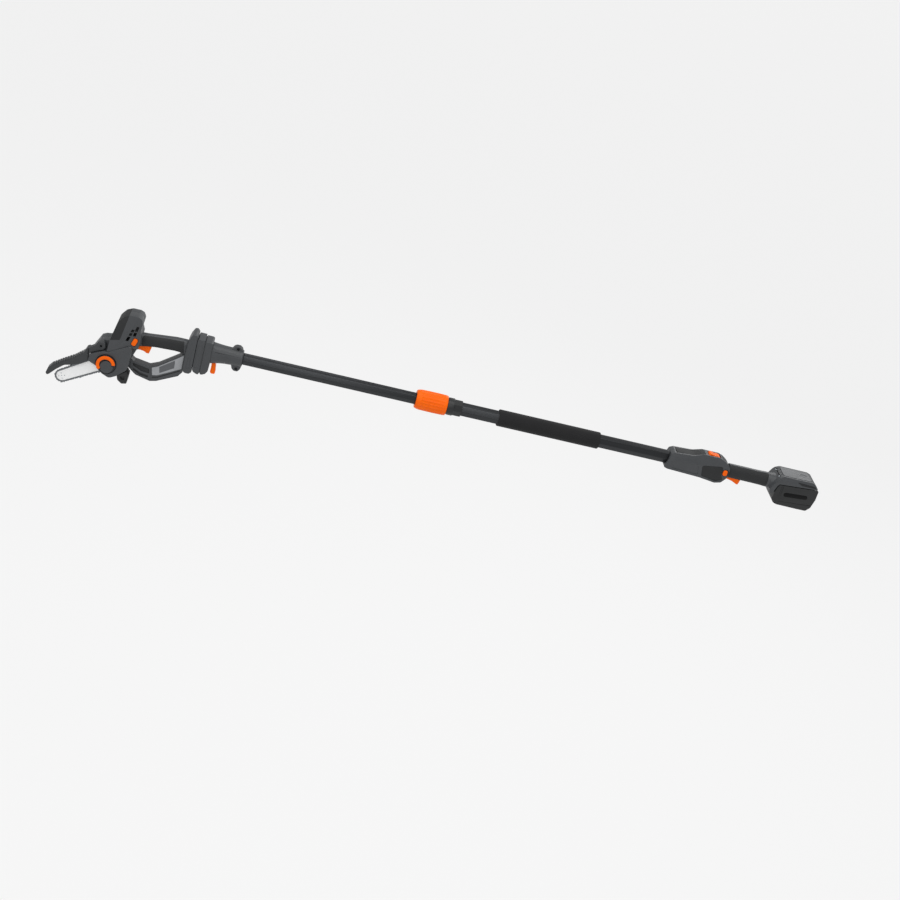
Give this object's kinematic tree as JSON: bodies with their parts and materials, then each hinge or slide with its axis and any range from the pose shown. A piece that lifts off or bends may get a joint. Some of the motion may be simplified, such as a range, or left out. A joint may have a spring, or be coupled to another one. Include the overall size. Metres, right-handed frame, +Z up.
{
  "type": "telescoping pole saw",
  "caption": "Battery pole saw: a small chain saw with its own handle on a telescoping pole with twist collar, foam grip, rear control handle and slide battery.",
  "frame": {"origin": "middle of the foam front grip, on the pole's axis", "axes": "+X along the pole towards the battery, +Z up in use, -Y the side with the sprocket cover and the tension knob"},
  "size_m": [2.0612, 0.0911, 0.2245],
  "materials": {
    "tube": "anodised dark grey, satin",
    "foam": "matt foam",
    "casing": "moulded dark grey plastic, fine texture",
    "soft_grip": "matt overmoulded rubber",
    "orange": "moulded orange plastic, satin",
    "black_plastic": "moulded black plastic",
    "bar_steel": "ground and brushed steel",
    "steel": "machined steel",
    "cell": "shrink-wrapped cell",
    "board": "circuit board"
  },
  "bodies": {
    "pole": {"outer_tube": "tube", "foam_grip": "foam", "collar_base": "black_plastic", "collet_ring": "black_plastic", "coil_cable": "soft_grip", "control_housing_left": "casing", "control_housing_right": "casing", "top_inlay": "soft_grip", "housing_screw": "steel", "rear_switch": "black_plastic", "controller_board": "board", "rear_trigger_spring": "steel", "rear_grip_sleeve": "soft_grip", "battery_housing": "casing", "battery_housing_cover": "casing", "battery_terminal": "black_plastic"},
    "collar": {"lock_collar": "orange"},
    "rear_trigger": {"rear_trigger": "orange"},
    "rear_lockout": {"rear_lockout_button": "orange"},
    "power_button": {"power_button": "orange"},
    "battery": {"battery_case": "casing", "battery_lid": "black_plastic", "battery_cell_1": "cell", "battery_cell_2": "cell", "battery_cell_3": "cell", "battery_cell_4": "cell", "battery_cell_5": "cell"},
    "battery_latch": {"battery_release_button": "orange"},
    "inner_pole": {"inner_tube": "tube", "tube_end_bush": "black_plastic", "head_cable": "soft_grip", "pole_socket": "casing", "adapter_body": "casing", "adapter_terminal": "black_plastic", "socket_screw_top": "steel", "socket_screw_bottom": "steel"},
    "release_lever": {"release_lever": "orange"},
    "saw_head": {"head_housing_left": "casing", "head_housing_right": "casing", "fin_pad": "soft_grip", "hand_guard": "casing", "saw_base": "casing", "branch_hook": "black_plastic", "motor_can": "steel", "shaft_bearing": "steel", "saw_chain": "steel", "guide_bar": "bar_steel", "bar_stud": "steel", "sprocket_cover": "casing", "saw_switch": "black_plastic", "saw_trigger_spring": "steel"},
    "motor_rotor": {"motor_shaft": "steel"},
    "sprocket": {"sprocket_shaft": "steel", "bevel_gear": "steel", "drive_sprocket": "steel"},
    "tension_knob": {"tension_knob": "black_plastic"},
    "knob_wing": {"knob_wing": "orange"},
    "chain_guard": {"chain_guard": "casing"},
    "saw_trigger": {"saw_trigger": "orange"},
    "saw_lockout": {"saw_lockout_button": "orange"}
  },
  "joints": [
    {"name": "collar_twist", "type": "hinge", "parent": "pole", "child": "collar", "pos_m": [-0.322, 0, 0], "axis": [1, 0, 0], "range_deg": [0, 90]},
    {"name": "pole_extension", "type": "slide", "parent": "pole", "child": "inner_pole", "axis": [1, 0, 0], "range_m": [0, 0.41], "deforming": ["coil_cable"]},
    {"name": "rear_trigger_pull", "type": "hinge", "parent": "pole", "child": "rear_trigger", "pos_m": [0.512, 0, -0.013], "axis": [0, -1, 0], "range_deg": [0, 10], "stiffness_Nm_per_rad": 0.25, "springref_deg": -17.19, "deforming": ["rear_trigger_spring"]},
    {"name": "rear_lockout_push", "type": "slide", "parent": "pole", "child": "rear_lockout", "axis": [0, 1, 0], "range_m": [0, 0.004], "stiffness_N_per_m": 400, "springref_m": -0.003},
    {"name": "power_button_press", "type": "slide", "parent": "pole", "child": "power_button", "axis": [0, 0, -1], "range_m": [0, 0.002], "stiffness_N_per_m": 500, "springref_m": -0.003},
    {"name": "battery_slide", "type": "slide", "parent": "pole", "child": "battery", "axis": [1, 0, 0], "range_m": [0, 0.13]},
    {"name": "battery_latch_press", "type": "slide", "parent": "battery", "child": "battery_latch", "axis": [-1, 0, 0], "range_m": [0, 0.003], "stiffness_N_per_m": 500, "springref_m": -0.003},
    {"name": "saw_head_slide", "type": "slide", "parent": "inner_pole", "child": "saw_head", "axis": [0, 0, 1], "range_m": [0, 0.12]},
    {"name": "release_lever_pull", "type": "hinge", "parent": "inner_pole", "child": "release_lever", "pos_m": [-0.894, 0, -0.026], "axis": [0, -1, 0], "range_deg": [0, 18], "stiffness_Nm_per_rad": 0.2, "springref_deg": -17.19},
    {"name": "sprocket_spin", "type": "hinge", "parent": "saw_head", "child": "sprocket", "pos_m": [-1.13335, 0, -0.06502], "axis": [0, 1, 0], "continuous": true},
    {"name": "motor_spin", "type": "hinge", "parent": "saw_head", "child": "motor_rotor", "pos_m": [-1.13335, 0, -0.06502], "axis": [0.1392, 0, 0.9903], "continuous": true},
    {"name": "tension_knob_turn", "type": "hinge", "parent": "saw_head", "child": "tension_knob", "pos_m": [-1.157, 0, -0.08], "axis": [0, -1, 0], "continuous": true},
    {"name": "knob_wing_flip", "type": "hinge", "parent": "tension_knob", "child": "knob_wing", "pos_m": [-1.15437, -0.05175, -0.08539], "axis": [0.8988, 0, 0.4384], "range_deg": [0, 90]},
    {"name": "chain_guard_swing", "type": "hinge", "parent": "saw_head", "child": "chain_guard", "pos_m": [-1.177, 0, -0.037], "axis": [0, 1, 0], "range_deg": [0, 50], "stiffness_Nm_per_rad": 0.08, "springref_deg": -57.3},
    {"name": "saw_trigger_pull", "type": "hinge", "parent": "saw_head", "child": "saw_trigger", "pos_m": [-1.087, 0, -0.03], "axis": [0, -1, 0], "range_deg": [0, 10], "stiffness_Nm_per_rad": 0.25, "springref_deg": -17.19, "deforming": ["saw_trigger_spring"]},
    {"name": "saw_lockout_push", "type": "slide", "parent": "saw_head", "child": "saw_lockout", "axis": [0, 1, 0], "range_m": [0, 0.004], "stiffness_N_per_m": 400, "springref_m": -0.003}
  ],
  "couplings": [
    {"joint": "motor_spin", "follows": "sprocket_spin", "ratio": 2.5}
  ]
}
